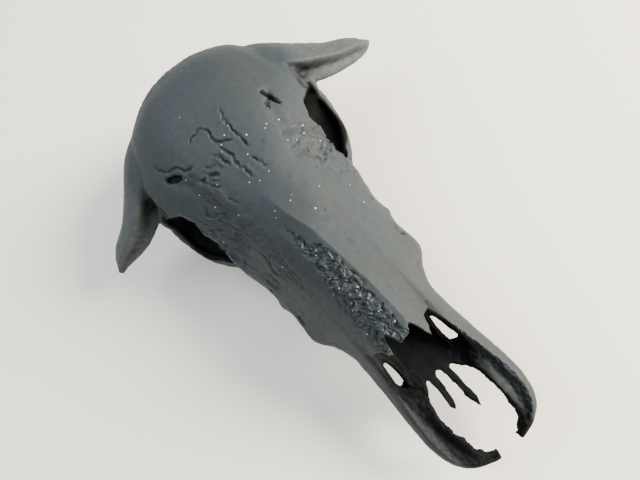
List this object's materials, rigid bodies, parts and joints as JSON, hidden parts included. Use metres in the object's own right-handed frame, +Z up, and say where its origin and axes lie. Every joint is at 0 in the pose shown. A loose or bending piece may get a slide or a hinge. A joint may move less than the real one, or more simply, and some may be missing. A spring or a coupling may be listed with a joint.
{
  "type": "buffalo skull replica",
  "caption": "Small matte grey resin replica of a horned buffalo skull without its lower jaw, lying on its cheek teeth.",
  "frame": {"origin": "on the floor under the middle of the bounding box", "axes": "+Z up from the floor, -Y towards the snout, +X to the skull's own left"},
  "size_m": [0.0986, 0.131, 0.0406],
  "materials": {
    "resin": "matte, unpainted, finely pitted"
  },
  "bodies": {
    "root": {"braincase": "resin", "nasal_bones": "resin", "vomer": "resin", "horn_right": "resin", "horn_left": "resin", "cheek_bone_right": "resin", "cheek_bone_left": "resin", "maxilla_right": "resin", "maxilla_left": "resin", "premaxilla_right": "resin", "premaxilla_left": "resin"}
  },
  "joints": []
}
